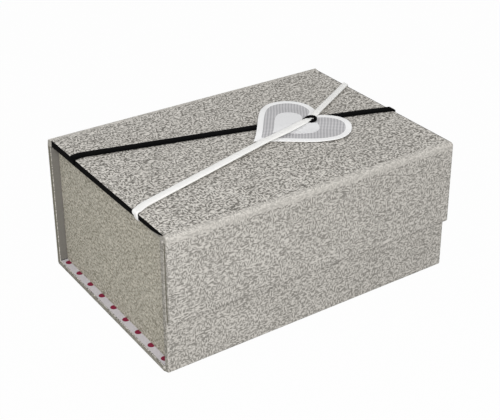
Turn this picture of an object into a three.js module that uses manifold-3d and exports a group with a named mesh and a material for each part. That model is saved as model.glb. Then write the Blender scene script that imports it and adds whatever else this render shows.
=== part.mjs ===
// Magnetic gift box with a folding lid, a front flap, two elastics and a heart tag.
//
// A book-style rigid box: five panels of greyboard in a printed paper case, with an open
// tray glued inside. Paper folds hinge the lid on the spine and the flap on the lid. Two
// disc magnets in the flap pull on two steel plates in the front panel.
//
// Millimetres. X runs along the box, -Y is the front, +Z is up. The origin is the middle
// of the underside of the base.

import * as THREE from 'three';
import { mergeVertices } from 'three/addons/utils/BufferGeometryUtils.js';
import Module from 'manifold-3d';

const wasm = await Module();
wasm.setup();

// Overall size of the closed case, without the flap and the elastics
const caseWidth = 160;
const caseDepth = 110;
const caseHeight = 70;

// Sheet materials
const greyboard = 2.25;
const trayBoard = 1.75;
const paper = 0.25;
const glueLine = 0.05;

// How the panels meet
const foldGap = 0.25;
const endTrim = 0.75;
const turnIn = 0.5;
const flapDrop = 43;
const flapGap = 0.25;

// The tray inside the case
const trayInset = 4;
const rimGap = 0.35;

// Magnets in the flap and steel plates in the front panel
const magnetDiameter = 12;
const magnetThickness = 1.5;
const magnetInset = 35;
const magnetRise = 12;
const plateWidth = 24;
const plateHeight = 14;
const plateThickness = 0.5;
const pocketGap = 0.3;

// The elastics: flat woven bands over the lid, turned in under its short edges
const bandWidth = 3.5;
const bandThickness = 0.75;
const bandGap = 0.25;
const bunchedWidth = 1.6;
const bunchLength = 9;
const tailLength = 14;
const patchLength = 8;
const patchWidth = 11;
const patchPaper = 0.3;
const edgingPaper = 0.25;
const edgingDrop = 0.35;

// Where the elastics cross, how each is headed there, and where it turns over the short edges
const crossing = { x: 37, y: 1 };
const archHalfSpan = 2.55;
const blackRoute = {
  left: 30,
  right: -12.25,
  heading: -26,
  halfSpan: archHalfSpan + bandThickness / 2,
};
const whiteRoute = {
  left: -30.5,
  right: 27.25,
  heading: 24,
  halfSpan: 0,
};

// The tag: a heart that lies under the white elastic and on the black one
const tagThickness = 0.5;
const labelThickness = 0.2;
const tagAngle = 6.3;
const holeDiameter = 7.5;
const holeToNotch = 5;
const lobeRadius = 13.2;
const lobeSpread = 12;
const lobeReach = 36.5;
const labelScale = 0.56;
const labelHoleMargin = 0.5;
const labelStart = 12.5;
const rampMargin = 2;
const rampLength = 11;

// Thicknesses and levels that follow from the sizes above
const skin = paper + glueLine;
const panelThickness = greyboard + 2 * skin;
const trayWall = trayBoard + 2 * skin;
const standOff = panelThickness + flapGap;
const foldEnd = panelThickness + foldGap;
const lidUnderside = caseHeight - panelThickness;
const trimmedWidth = caseWidth - 2 * endTrim;
const lidFront = -(caseDepth / 2 + standOff);
const trayBottom = panelThickness + glueLine;
const rimHeight = lidUnderside - rimGap;
const sideRimHeight = lidUnderside - bandGap - bandThickness - rimGap;
const trayHalfWidth = caseWidth / 2 - trayInset;
const trayHalfDepth = caseDepth / 2 - panelThickness - glueLine;
const tagBottom = caseHeight + bandGap + bandThickness + bandGap;
const tagTop = tagBottom + tagThickness;
const labelTop = tagTop + glueLine + labelThickness;
const halfBand = bandThickness / 2;
const magnetX = caseWidth / 2 - magnetInset;
const magnetZ = caseHeight - flapDrop + magnetRise;
const notchReach = lobeReach + Math.sqrt(lobeRadius ** 2 - lobeSpread ** 2);
const holeToTip = notchReach - holeToNotch;

const CURVE_STEPS = 8;

const box = new THREE.Group();

function material(color, roughness, metalness = 0) {
  return new THREE.MeshStandardMaterial({ color, roughness, metalness });
}

const finishes = {
  greyboard: () => material(0x8a857a, 0.95),
  linenPaper: () => material(0xa9a59f, 0.85),
  trayPaper: () => material(0x9a968a, 0.85),
  dottedPaper: () => material(0xc4bfc2, 0.8),
  blackPaper: () => material(0x0c0c0c, 0.8),
  blackElastic: () => material(0x0a0a0a, 0.7),
  whiteElastic: () => material(0xf0eee8, 0.7),
  tagCard: () => material(0xc4c3c4, 0.6),
  labelPaper: () => material(0xdedede, 0.6),
  magnet: () => material(0xb8babd, 0.3, 1),
  steel: () => material(0x9fa3a6, 0.4, 1),
};

function piece(name, geometry, finish) {
  const mesh = new THREE.Mesh(geometry, finish());
  mesh.name = name;
  return mesh;
}

// A box between two corners, as a geometry
function blockBetween(low, high) {
  const size = high.map((value, axis) => value - low[axis]);
  const middle = high.map((value, axis) => (value + low[axis]) / 2);
  return new THREE.BoxGeometry(...size).translate(...middle);
}

function toManifold(geometry) {
  const bare = geometry.clone();
  bare.deleteAttribute('normal');
  bare.deleteAttribute('uv');
  const merged = mergeVertices(bare);
  return new wasm.Manifold(new wasm.Mesh({
    numProp: 3,
    vertProperties: Float32Array.from(merged.attributes.position.array),
    triVerts: Uint32Array.from(merged.index.array),
  }));
}

function fromManifold(solid) {
  const mesh = solid.getMesh();
  const geometry = new THREE.BufferGeometry();
  geometry.setAttribute('position', new THREE.BufferAttribute(mesh.vertProperties, 3));
  geometry.setIndex(new THREE.BufferAttribute(mesh.triVerts, 1));
  geometry.computeVertexNormals();
  return geometry;
}

function cut(body, ...tools) {
  const left = tools.reduce((solid, tool) => solid.subtract(toManifold(tool)), toManifold(body));
  return fromManifold(left);
}

// Sheets are drawn lying down: X across, Y along from 0, Z from the outer face inwards.
// A sheet's edge is turned over where wraps says so, and is open elsewhere.
const BEYOND = 1;

function sheetSpan(width, length, wraps, margin, open) {
  return {
    x0: -width / 2 + (wraps.left ? margin : open),
    x1: width / 2 - (wraps.right ? margin : open),
    y0: wraps.start ? margin : open,
    y1: length - (wraps.end ? margin : open),
  };
}

function slab(span, z0, z1) {
  return blockBetween([span.x0, span.y0, z0], [span.x1, span.y1, z1]);
}

function coverPaper(width, length, thickness, wraps) {
  const sheet = blockBetween([-width / 2, 0, 0], [width / 2, length, thickness]);
  const cavity = slab(sheetSpan(width, length, wraps, paper, -BEYOND), paper, thickness - paper);
  const window = slab(
    sheetSpan(width, length, wraps, turnIn, -BEYOND),
    thickness - 1.5 * paper,
    thickness + BEYOND,
  );
  return cut(sheet, cavity, window);
}

function boardSheet(width, length, thickness, wraps) {
  return slab(sheetSpan(width, length, wraps, skin, 0), skin, thickness - skin);
}

function liningPaper(width, length, thickness, wraps) {
  return slab(
    sheetSpan(width, length, wraps, turnIn + glueLine, 0),
    thickness - paper,
    thickness,
  );
}

// One covered panel: board, cover paper and lining, placed by its outer face
function coveredPanel({ name, width, length, thickness, wraps, cover, lining, pockets = [] }) {
  const panel = new THREE.Group();
  const board = boardSheet(width, length, thickness, wraps);
  const carved = pockets.length > 0 ? cut(board, ...pockets) : board;
  panel.add(
    piece(`${name}_board`, carved, finishes.greyboard),
    piece(`${name}_cover`, coverPaper(width, length, thickness, wraps), cover),
    piece(`${name}_lining`, liningPaper(width, length, thickness, wraps), lining),
  );
  return panel;
}

const sidesOnly = { left: true, right: true, start: false, end: false };
const sidesAndEnd = { left: true, right: true, start: false, end: true };
const rimOnly = { left: false, right: false, start: false, end: true };

// The rounded paper fold between two panels, a quarter round along X
function paperFold(name, width, y, z, turn) {
  const section = new THREE.Shape();
  section.moveTo(0, 0);
  section.lineTo(panelThickness, 0);
  section.absarc(0, 0, panelThickness, 0, Math.PI / 2, false);
  section.closePath();
  const geometry = new THREE.ExtrudeGeometry(section, {
    depth: width,
    bevelEnabled: false,
    curveSegments: CURVE_STEPS,
  });
  geometry.translate(0, 0, -width / 2);
  geometry.rotateZ(turn);
  geometry.rotateY(Math.PI / 2);
  geometry.rotateX(Math.PI / 2);
  geometry.translate(0, y, z);
  return piece(name, geometry, finishes.linenPaper);
}

const quarter = Math.PI / 2;
const foldY = caseDepth / 2 - panelThickness;

function makeCase() {
  const base = coveredPanel({
    name: 'base',
    width: caseWidth,
    length: caseDepth - 2 * foldEnd,
    thickness: panelThickness,
    wraps: sidesOnly,
    cover: finishes.linenPaper,
    lining: finishes.dottedPaper,
  });
  base.position.set(0, -caseDepth / 2 + foldEnd, 0);

  const spine = coveredPanel({
    name: 'spine',
    width: caseWidth,
    length: caseHeight - 2 * foldEnd,
    thickness: panelThickness,
    wraps: sidesOnly,
    cover: finishes.linenPaper,
    lining: finishes.dottedPaper,
  });
  spine.rotation.x = quarter;
  spine.position.set(0, caseDepth / 2, foldEnd);

  const front = coveredPanel({
    name: 'front',
    width: trimmedWidth,
    length: rimHeight - foldEnd,
    thickness: panelThickness,
    wraps: sidesAndEnd,
    cover: finishes.linenPaper,
    lining: finishes.dottedPaper,
    pockets: platePositions(-foldEnd).map(platePocket),
  });
  front.rotation.set(quarter, 0, Math.PI, 'ZYX');
  front.position.set(0, -caseDepth / 2, foldEnd);

  box.add(
    base,
    spine,
    front,
    paperFold('base_spine_fold', caseWidth, foldY, panelThickness, 3 * quarter),
    paperFold('base_front_fold', trimmedWidth, -foldY, panelThickness, 2 * quarter),
    paperFold('lid_fold', trimmedWidth, foldY, lidUnderside, 0),
  );
  platePositions(0).forEach(([x, z], index) => {
    box.add(catchPlate(['left', 'right'][index], x, z));
  });
}

// The plates sit behind the magnets, so they share the magnets' places
function platePositions(shift) {
  return [-1, 1].map((side) => [side * magnetX, magnetZ + shift]);
}

function platePocket([x, y]) {
  const halfWidth = plateWidth / 2 + pocketGap;
  const halfHeight = plateHeight / 2 + pocketGap;
  return blockBetween(
    [x - halfWidth, y - halfHeight, 0],
    [x + halfWidth, y + halfHeight, skin + plateThickness + glueLine],
  );
}

function catchPlate(side, x, z) {
  const face = -caseDepth / 2 + skin;
  const geometry = blockBetween(
    [x - plateWidth / 2, face, z - plateHeight / 2],
    [x + plateWidth / 2, face + plateThickness, z + plateHeight / 2],
  );
  return piece(`catch_plate_${side}`, geometry, finishes.steel);
}

function trayPanel(name, width, length) {
  return coveredPanel({
    name,
    width,
    length,
    thickness: trayWall,
    wraps: rimOnly,
    cover: finishes.trayPaper,
    lining: finishes.dottedPaper,
  });
}

function makeTray() {
  const innerHalfWidth = trayHalfWidth - trayWall - glueLine;
  const innerHalfDepth = trayHalfDepth - trayWall - glueLine;
  const sideHeight = sideRimHeight - trayBottom;
  const endHeight = rimHeight - trayBottom;

  const left = trayPanel('tray_left', 2 * trayHalfDepth, sideHeight);
  left.rotation.set(quarter, 0, quarter, 'ZYX');
  left.position.set(-trayHalfWidth, 0, trayBottom);

  const right = trayPanel('tray_right', 2 * trayHalfDepth, sideHeight);
  right.rotation.set(quarter, 0, -quarter, 'ZYX');
  right.position.set(trayHalfWidth, 0, trayBottom);

  const back = trayPanel('tray_back', 2 * innerHalfWidth, endHeight);
  back.rotation.x = quarter;
  back.position.set(0, trayHalfDepth, trayBottom);

  const front = trayPanel('tray_front', 2 * innerHalfWidth, endHeight);
  front.rotation.set(quarter, 0, Math.PI, 'ZYX');
  front.position.set(0, -trayHalfDepth, trayBottom);

  const floorTop = trayBottom + trayBoard;
  const floor = blockBetween(
    [-innerHalfWidth, -innerHalfDepth, trayBottom],
    [innerHalfWidth, innerHalfDepth, floorTop],
  );
  const floorLining = blockBetween(
    [-innerHalfWidth, -innerHalfDepth, floorTop + glueLine],
    [innerHalfWidth, innerHalfDepth, floorTop + skin],
  );
  box.add(
    left,
    right,
    back,
    front,
    piece('tray_floor_board', floor, finishes.greyboard),
    piece('tray_floor_lining', floorLining, finishes.dottedPaper),
  );
}

function makeLid() {
  const lidLength = caseDepth / 2 - foldEnd - (lidFront + foldEnd);
  const lidWidth = trimmedWidth - 2 * (edgingPaper + glueLine);
  const lid = coveredPanel({
    name: 'lid',
    width: lidWidth,
    length: lidLength,
    thickness: panelThickness,
    wraps: sidesOnly,
    cover: finishes.linenPaper,
    lining: finishes.dottedPaper,
  });
  lid.rotation.x = Math.PI;
  lid.position.set(0, caseDepth / 2 - foldEnd, caseHeight);
  box.add(lid);

  box.add(paperFold(
    'flap_fold',
    trimmedWidth,
    lidFront + panelThickness,
    lidUnderside,
    quarter,
  ));

  for (const [side, sign] of [['left', -1], ['right', 1]]) {
    const inner = sign * (trimmedWidth / 2 - edgingPaper);
    const outer = sign * (trimmedWidth / 2);
    const strip = blockBetween(
      [Math.min(inner, outer), lidFront + foldEnd, lidUnderside],
      [Math.max(inner, outer), caseDepth / 2 - foldEnd, caseHeight - edgingDrop],
    );
    box.add(piece(`lid_edging_${side}`, strip, finishes.blackPaper));
  }
}

function makeFlap() {
  const magnetY = flapDrop - foldEnd - magnetRise;
  const places = [-magnetX, magnetX];
  const pocketDepth = magnetThickness + glueLine;
  const flap = coveredPanel({
    name: 'flap',
    width: trimmedWidth,
    length: flapDrop - foldEnd,
    thickness: panelThickness,
    wraps: sidesAndEnd,
    cover: finishes.linenPaper,
    lining: finishes.dottedPaper,
    pockets: places.map((x) => disc(
      magnetDiameter / 2 + pocketGap,
      x,
      magnetY,
      panelThickness - skin - pocketDepth,
      panelThickness,
    )),
  });
  const magnetTop = panelThickness - skin;
  places.forEach((x, index) => {
    const geometry = disc(magnetDiameter / 2, x, magnetY, magnetTop - magnetThickness, magnetTop);
    flap.add(piece(`magnet_${['left', 'right'][index]}`, geometry, finishes.magnet));
  });
  flap.rotation.x = -quarter;
  flap.position.set(0, lidFront, caseHeight - foldEnd);
  box.add(flap);
}

function disc(radius, x, y, z0, z1) {
  const geometry = new THREE.CylinderGeometry(radius, radius, z1 - z0, 4 * CURVE_STEPS);
  geometry.rotateX(quarter);
  return geometry.translate(x, y, (z0 + z1) / 2);
}

// A flat band through stations, each a point on its middle line with a sideways direction
function bandSolid(stations) {
  const corners = [];
  stations.forEach(({ point, side, width }, index) => {
    const before = stations[Math.max(index - 1, 0)].point;
    const after = stations[Math.min(index + 1, stations.length - 1)].point;
    const along = after.clone().sub(before).normalize();
    const across = side.clone().multiplyScalar(width / 2);
    const up = along.clone().cross(side).normalize().multiplyScalar(halfBand);
    for (const [s, u] of [[1, 1], [-1, 1], [-1, -1], [1, -1]]) {
      corners.push(point.clone().addScaledVector(across, s).addScaledVector(up, u));
    }
  });
  const faces = [[0, 2, 1], [0, 3, 2]];
  for (let ring = 0; ring < stations.length - 1; ring += 1) {
    for (let edge = 0; edge < 4; edge += 1) {
      const a = 4 * ring + edge;
      const b = 4 * ring + ((edge + 1) % 4);
      faces.push([a, b, a + 4], [b, b + 4, a + 4]);
    }
  }
  const last = 4 * (stations.length - 1);
  faces.push([last, last + 1, last + 2], [last, last + 2, last + 3]);
  const geometry = new THREE.BufferGeometry().setFromPoints(corners);
  geometry.setIndex(faces.flat());
  geometry.computeVertexNormals();
  return geometry;
}

// Points along a quarter turn in a plane of distance and height
function quarterTurn(centre, radius, from, to) {
  return Array.from({ length: 4 }, (_, step) => {
    const angle = THREE.MathUtils.degToRad(from + ((to - from) * step) / 3);
    return [centre[0] + radius * Math.cos(angle), centre[1] + radius * Math.sin(angle)];
  });
}

// The band's end: from the tail under the lid, round the short edge, on to the lid's top
function bandEnd(sign, y) {
  const edge = trimmedWidth / 2;
  const radius = bandGap + halfBand;
  const profile = [
    [edge - tailLength, lidUnderside - radius],
    ...quarterTurn([edge, lidUnderside], radius, -90, 0),
    ...quarterTurn([edge, caseHeight], radius, 0, 90),
  ];
  return profile.map(([x, z]) => ({
    point: new THREE.Vector3(sign * x, y, z),
    side: new THREE.Vector3(0, 1, 0),
    width: bandWidth,
  }));
}

// Where the left and right runs of an elastic begin, either side of the crossing
function runStart(route, sign) {
  const angle = THREE.MathUtils.degToRad(route.heading);
  const offset = new THREE.Vector2(Math.cos(angle), Math.sin(angle));
  return offset.multiplyScalar(sign * route.halfSpan).add(crossing);
}

function runEnd(route, sign) {
  return new THREE.Vector2((sign * trimmedWidth) / 2, sign < 0 ? route.left : route.right);
}

function runReach(route, sign) {
  return route.halfSpan + runStart(route, sign).distanceTo(runEnd(route, sign));
}

// A station on the lid's top at a signed distance from the crossing, negative to the left
function onRoute(route, distance, z) {
  const sign = distance < 0 ? -1 : 1;
  const reach = Math.abs(distance);
  const angle = THREE.MathUtils.degToRad(route.heading);
  const axis = new THREE.Vector2(Math.cos(angle), Math.sin(angle));
  const start = runStart(route, sign);
  const run = runEnd(route, sign).sub(start).normalize();
  const place = reach > route.halfSpan
    ? start.addScaledVector(run, reach - route.halfSpan)
    : axis.clone().multiplyScalar(distance).add(crossing);
  const turned = THREE.MathUtils.smoothstep(reach, route.halfSpan, bunchLength);
  const heading = axis.lerp(run.multiplyScalar(sign), turned).normalize();
  const opened = THREE.MathUtils.smoothstep(reach, archHalfSpan + 1, bunchLength);
  return {
    point: new THREE.Vector3(place.x, place.y, z),
    side: new THREE.Vector3(-heading.y, heading.x, 0),
    width: bunchedWidth + (bandWidth - bunchedWidth) * opened,
  };
}

function bandBetweenEnds(route, topRun) {
  const left = bandEnd(-1, route.left);
  const right = bandEnd(1, route.right).reverse();
  const run = topRun.map(([distance, z]) => onRoute(route, distance, z));
  return bandSolid([...left, ...run, ...right]);
}

// The black elastic lies under the tag and comes up through its hole, over the white one
function makeBlackElastic() {
  const low = caseHeight + bandGap + halfBand;
  const high = labelTop + bandGap + bandThickness + bandGap + halfBand;
  const bend = halfBand + 0.25;
  const span = blackRoute.halfSpan;
  const rise = [
    ...quarterTurn([-span - bend, low + bend], bend, -90, 0),
    ...quarterTurn([-span + bend, high - bend], bend, 180, 90),
  ];
  const fall = rise.map(([distance, z]) => [-distance, z]).reverse();
  const run = [
    [-runReach(blackRoute, -1) + bunchLength, low],
    [-2 * bunchLength, low],
    [-bunchLength, low],
    [-(bunchLength + span) / 2, low],
    ...rise,
    ...fall,
    [(bunchLength + span) / 2, low],
    [bunchLength, low],
    [runReach(blackRoute, 1) - bunchLength, low],
  ];
  box.add(piece('black_elastic', bandBetweenEnds(blackRoute, run), finishes.blackElastic));
}

// The white elastic climbs on to the tag, passes under the black arch and comes down again
function makeWhiteElastic() {
  const low = caseHeight + bandGap + halfBand;
  const high = labelTop + bandGap + halfBand;
  const climbLeft = -(holeToTip + rampMargin + rampLength);
  const climbRight = lobeRadius + holeToNotch + rampLength;
  const climb = Array.from({ length: 7 }, (_, step) => {
    const share = step / 6;
    const ease = share * share * (3 - 2 * share);
    return [share * rampLength, low + (high - low) * ease];
  });
  const run = [
    [-runReach(whiteRoute, -1) + bunchLength, low],
    ...climb.map(([distance, z]) => [climbLeft + distance, z]),
    [-2 * bunchLength, high],
    [-bunchLength, high],
    [-(bunchLength + archHalfSpan) / 2, high],
    [-archHalfSpan, high],
    [0, high],
    [archHalfSpan, high],
    [(bunchLength + archHalfSpan) / 2, high],
    [bunchLength, high],
    ...climb.map(([distance, z]) => [climbRight - distance, z]).reverse(),
    [runReach(whiteRoute, 1) - bunchLength, low],
  ];
  box.add(piece('white_elastic', bandBetweenEnds(whiteRoute, run), finishes.whiteElastic));
}

// A paper patch glued to the lid's lining, folded round the tail of an elastic
function tailPatch(name, sign, y) {
  const depth = bandGap + bandThickness + bandGap + patchPaper;
  const channel = bandWidth / 2 + bandGap;
  const outer = patchWidth / 2;
  const section = new THREE.Shape();
  section.moveTo(-outer, 0);
  section.lineTo(-outer, -depth);
  section.lineTo(outer, -depth);
  section.lineTo(outer, 0);
  section.lineTo(channel, 0);
  section.lineTo(channel, patchPaper - depth);
  section.lineTo(-channel, patchPaper - depth);
  section.lineTo(-channel, 0);
  section.closePath();
  const geometry = new THREE.ExtrudeGeometry(section, {
    depth: patchLength,
    bevelEnabled: false,
  });
  geometry.rotateY(quarter);
  geometry.rotateX(quarter);
  const start = trimmedWidth / 2 - tailLength - bandGap;
  const x = sign > 0 ? start : -start - patchLength;
  geometry.translate(x, y, lidUnderside - glueLine);
  return piece(name, geometry, finishes.dottedPaper);
}

function makePatches() {
  box.add(
    tailPatch('black_left_patch', -1, blackRoute.left),
    tailPatch('black_right_patch', 1, blackRoute.right),
    tailPatch('white_left_patch', -1, whiteRoute.left),
    tailPatch('white_right_patch', 1, whiteRoute.right),
  );
}

// A heart whose tip is at the origin and whose notch is on +X
function heartOutline(shape, scale = 1, start = 0) {
  const at = (x, y) => [start + x * scale, y * scale];
  const radius = lobeRadius * scale;
  const notch = Math.asin(lobeSpread / lobeRadius);
  const shoulder = THREE.MathUtils.degToRad(100);
  const shoulderX = lobeReach + lobeRadius * Math.cos(shoulder);
  const shoulderY = lobeSpread + lobeRadius * Math.sin(shoulder);
  const flank = [0.64 * shoulderX, 0.97 * shoulderY];
  const tipPull = [0.26 * shoulderX, 0.4 * shoulderY];
  shape.moveTo(...at(0, 0));
  shape.bezierCurveTo(
    ...at(tipPull[0], -tipPull[1]),
    ...at(flank[0], -flank[1]),
    ...at(shoulderX, -shoulderY),
  );
  shape.absarc(...at(lobeReach, -lobeSpread), radius, -shoulder, notch, false);
  shape.absarc(...at(lobeReach, lobeSpread), radius, -notch, shoulder, false);
  shape.bezierCurveTo(
    ...at(flank[0], flank[1]),
    ...at(tipPull[0], tipPull[1]),
    ...at(0, 0),
  );
  return shape;
}

function heartSheet(shape, thickness, z) {
  const geometry = new THREE.ExtrudeGeometry(shape, {
    depth: thickness,
    bevelEnabled: false,
    curveSegments: 2 * CURVE_STEPS,
  });
  return geometry.translate(-holeToTip, 0, z);
}

// The tag's hole goes through the card and its plain printed heart
function makeTag() {
  const tag = new THREE.Group();
  const cardOutline = heartOutline(new THREE.Shape());
  const hole = new THREE.Path();
  hole.absarc(holeToTip, 0, holeDiameter / 2, 0, 2 * Math.PI, true);
  cardOutline.holes.push(hole);
  const card = heartSheet(cardOutline, tagThickness, tagBottom);

  const labelOutline = heartOutline(new THREE.Shape(), labelScale, labelStart);
  const label = cut(
    heartSheet(labelOutline, labelThickness, tagTop + glueLine),
    disc(holeDiameter / 2 + labelHoleMargin, 0, 0, tagBottom, labelTop + BEYOND),
  );
  tag.add(
    piece('tag_card', card, finishes.tagCard),
    piece('tag_label', label, finishes.labelPaper),
  );
  tag.rotation.z = THREE.MathUtils.degToRad(tagAngle);
  tag.position.set(crossing.x, crossing.y, 0);
  box.add(tag);
}

makeCase();
makeTray();
makeLid();
makeFlap();
makeBlackElastic();
makeWhiteElastic();
makePatches();
makeTag();

export default box;
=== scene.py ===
# %% [markdown]
# # A magnetic gift box, dressed in Blender
#
# The box is a book-style rigid box: greyboard panels wrapped in one printed paper, an open
# tray glued inside, and a flap that magnets hold to the front. Two elastics cross on the
# lid and trap a heart-shaped tag. The measured frame gives every size, so this lesson only
# makes surfaces: paper that turns over board, woven elastic, thin card, and light.

# %% Load the measured frame
import math

import bmesh
import bpy
from mathutils import Matrix, Vector


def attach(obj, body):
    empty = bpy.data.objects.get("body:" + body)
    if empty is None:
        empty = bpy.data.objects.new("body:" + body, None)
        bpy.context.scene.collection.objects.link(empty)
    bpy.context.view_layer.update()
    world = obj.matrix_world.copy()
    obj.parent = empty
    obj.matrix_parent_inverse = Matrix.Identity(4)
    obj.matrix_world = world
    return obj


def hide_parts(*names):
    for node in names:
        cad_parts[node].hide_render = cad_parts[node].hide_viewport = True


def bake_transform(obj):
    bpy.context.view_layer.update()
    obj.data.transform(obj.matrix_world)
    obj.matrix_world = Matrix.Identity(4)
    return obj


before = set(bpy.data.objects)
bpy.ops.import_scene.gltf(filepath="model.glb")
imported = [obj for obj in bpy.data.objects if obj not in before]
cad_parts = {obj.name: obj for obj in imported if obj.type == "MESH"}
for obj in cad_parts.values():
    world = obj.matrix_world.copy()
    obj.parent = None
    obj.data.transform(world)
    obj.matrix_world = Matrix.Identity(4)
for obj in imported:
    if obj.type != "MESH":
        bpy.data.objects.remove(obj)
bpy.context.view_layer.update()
MM = 0.001

# %% [markdown]
# ## The camera
#
# A box photographed from above one corner fixes its camera well: three sets of parallel
# edges give the direction, and the sizes give the distance. The picture is a crop of a
# wider one, so the optical centre sits right of and above the middle. Blender's lens shift
# says that without bending the verticals.

# %% Camera from the box's own edges
PICTURE = (500, 420)
FOCAL_PIXELS = 1151.1
OPTICAL_CENTRE = (296.2, 136.6)
AZIMUTH, ELEVATION, ROLL = (math.radians(a) for a in (-35.992, 25.899, 0.835))
DISTANCE = 0.5712
AIM = Vector((0.02776, 0, 0.06397))
SENSOR = 36

back = Vector((
    math.sin(AZIMUTH) * math.cos(ELEVATION),
    -math.cos(AZIMUTH) * math.cos(ELEVATION),
    math.sin(ELEVATION),
))
level = Vector((math.cos(AZIMUTH), math.sin(AZIMUTH), 0))
upright = back.cross(level)
right = level * math.cos(ROLL) + upright * math.sin(ROLL)
above = upright * math.cos(ROLL) - level * math.sin(ROLL)

camera_data = bpy.data.cameras.new("camera")
camera_data.sensor_width = SENSOR
camera_data.lens = SENSOR * FOCAL_PIXELS / PICTURE[0]
camera_data.shift_x = (PICTURE[0] / 2 - OPTICAL_CENTRE[0]) / PICTURE[0]
camera_data.shift_y = (OPTICAL_CENTRE[1] - PICTURE[1] / 2) / PICTURE[0]
camera = bpy.data.objects.new("camera", camera_data)
pose = Matrix((right, above, back)).transposed().to_4x4()
pose.translation = AIM + back * DISTANCE
camera.matrix_world = pose
bpy.context.scene.collection.objects.link(camera)
bpy.context.scene.camera = camera
print("lens", round(camera_data.lens, 1), "mm, camera at", [round(c, 3) for c in pose.translation])

# %% [markdown]
# ## Light and ground
#
# The object stands on white and throws almost no shadow, as in a light tent. A plain world
# gives the even part. Two soft lamps give the rest: one from the front left, near enough for
# the flap to be brightest at its left end, and one from above. The floor glows white only
# to the camera, and the world to the camera and in reflections, so neither lights the box.

# %% World, lamps and floor
WORLD_STRENGTH = 0.52
FLOOR_GLOW = 0.975
FLOOR_GREY = 0.55
FLOOR_REACH = 4
FLOOR_DROP = 0.0002


def new_material(name):
    material = bpy.data.materials.new(name)
    material.use_nodes = True
    material.node_tree.nodes.clear()
    return material


def node(tree, kind, **settings):
    made = tree.nodes.new(kind)
    for key, value in settings.items():
        setattr(made, key, value)
    return made


def area_lamp(name, place, target, size, watts):
    lamp = bpy.data.lights.new(name, "AREA")
    lamp.shape = "DISK"
    lamp.size = size
    lamp.energy = watts
    obj = bpy.data.objects.new(name, lamp)
    obj.location = place
    obj.rotation_euler = (Vector(target) - Vector(place)).to_track_quat("-Z", "Y").to_euler()
    bpy.context.scene.collection.objects.link(obj)


world = bpy.data.worlds.new("light_tent")
world.use_nodes = True
sky_tree = world.node_tree
sky = sky_tree.nodes["Background"]
seen = node(sky_tree, "ShaderNodeLightPath")
white = node(sky_tree, "ShaderNodeBackground")
pick = node(sky_tree, "ShaderNodeMixShader")
direct = node(sky_tree, "ShaderNodeMath", operation="MAXIMUM")
for ground, strength in ((sky, WORLD_STRENGTH), (white, 1)):
    ground.inputs["Color"].default_value = (1, 1, 1, 1)
    ground.inputs["Strength"].default_value = strength
for source, target in (
    (seen.outputs["Is Camera Ray"], direct.inputs[0]),
    (seen.outputs["Is Glossy Ray"], direct.inputs[1]),
    (direct.outputs[0], pick.inputs["Fac"]),
    (sky.outputs[0], pick.inputs[1]),
    (white.outputs[0], pick.inputs[2]),
    (pick.outputs[0], sky_tree.nodes["World Output"].inputs["Surface"]),
):
    sky_tree.links.new(source, target)
bpy.context.scene.world = world
bpy.context.scene.view_settings.view_transform = "Standard"

area_lamp("front_left_lamp", (-0.4, -0.62, 0.45), (0, 0, 0.03), 0.45, 4.45)
area_lamp("overhead_lamp", (-0.1, 0.0, 1.2), (0, 0, 0.05), 0.9, 1.6)


def white_floor():
    material = new_material("white_floor")
    tree = material.node_tree
    paper = node(tree, "ShaderNodeBsdfDiffuse")
    paper.inputs["Color"].default_value = (FLOOR_GREY, FLOOR_GREY, FLOOR_GREY, 1)
    glow = node(tree, "ShaderNodeEmission")
    glow.inputs["Strength"].default_value = 1
    path = node(tree, "ShaderNodeLightPath")
    share = node(tree, "ShaderNodeMath", operation="MULTIPLY")
    share.inputs[1].default_value = FLOOR_GLOW
    mix = node(tree, "ShaderNodeMixShader")
    out = node(tree, "ShaderNodeOutputMaterial")
    tree.links.new(path.outputs["Is Camera Ray"], share.inputs[0])
    tree.links.new(share.outputs[0], mix.inputs["Fac"])
    tree.links.new(paper.outputs[0], mix.inputs[1])
    tree.links.new(glow.outputs[0], mix.inputs[2])
    tree.links.new(mix.outputs[0], out.inputs["Surface"])
    return material


floor_mesh = bpy.data.meshes.new("floor")
floor_mesh.from_pydata(
    [(-FLOOR_REACH, -FLOOR_REACH, 0), (FLOOR_REACH, -FLOOR_REACH, 0),
     (FLOOR_REACH, FLOOR_REACH, 0), (-FLOOR_REACH, FLOOR_REACH, 0)],
    [], [(0, 1, 2, 3)],
)
floor_mesh.materials.append(white_floor())
floor = bpy.data.objects.new("floor", floor_mesh)
bpy.context.scene.collection.objects.link(floor)
floor.location.z = -FLOOR_DROP
print("floor and lamps made")

# %% [markdown]
# ## Linen-print paper
#
# The cover paper is smooth but printed with a close weave: pale dashes about 0.7 mm wide
# and 1.5 mm long run up and across on a greyer ground, in patches of one and the other. A
# wave texture would look machine-ruled. Noise that is squeezed in one direction gives
# dashes of uneven length instead, and two such noises at right angles give the weave. The
# paper wraps round corners, so the pattern is laid in the plane of each face: across and
# up are picked by which way the face looks. On faces that look up the print's contrast is
# raised, as painted raking light and shade. Points of a sheet also say where it is creased,
# which makes the print paler as wear and a painted highlight, and how far faces that look
# along X are darkened towards olive, partly as the turned edges' darker print and partly as
# painted shade.


# %% Coordinates in the plane of each face, in millimetres
LID_HEIGHT = 70.0
FACING_EDGE = (0.6, 0.85)


def math_node(tree, operation, a, b=None):
    made = node(tree, "ShaderNodeMath", operation=operation)
    for socket, value in zip(made.inputs, (a, b)):
        if value is None:
            continue
        if isinstance(value, (int, float)):
            socket.default_value = value
        else:
            tree.links.new(value, socket)
    return made.outputs[0]


def mix_value(tree, share, low, high):
    return math_node(tree, "ADD", low, math_node(
        tree, "MULTIPLY", share, math_node(tree, "SUBTRACT", high, low)))


def parts_of(tree, kind):
    """X, Y and Z of the place on the object, or of the direction in which it looks."""
    coordinates = node(tree, "ShaderNodeTexCoord")
    parts = node(tree, "ShaderNodeSeparateXYZ")
    tree.links.new(coordinates.outputs[kind], parts.inputs[0])
    return parts.outputs


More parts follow.
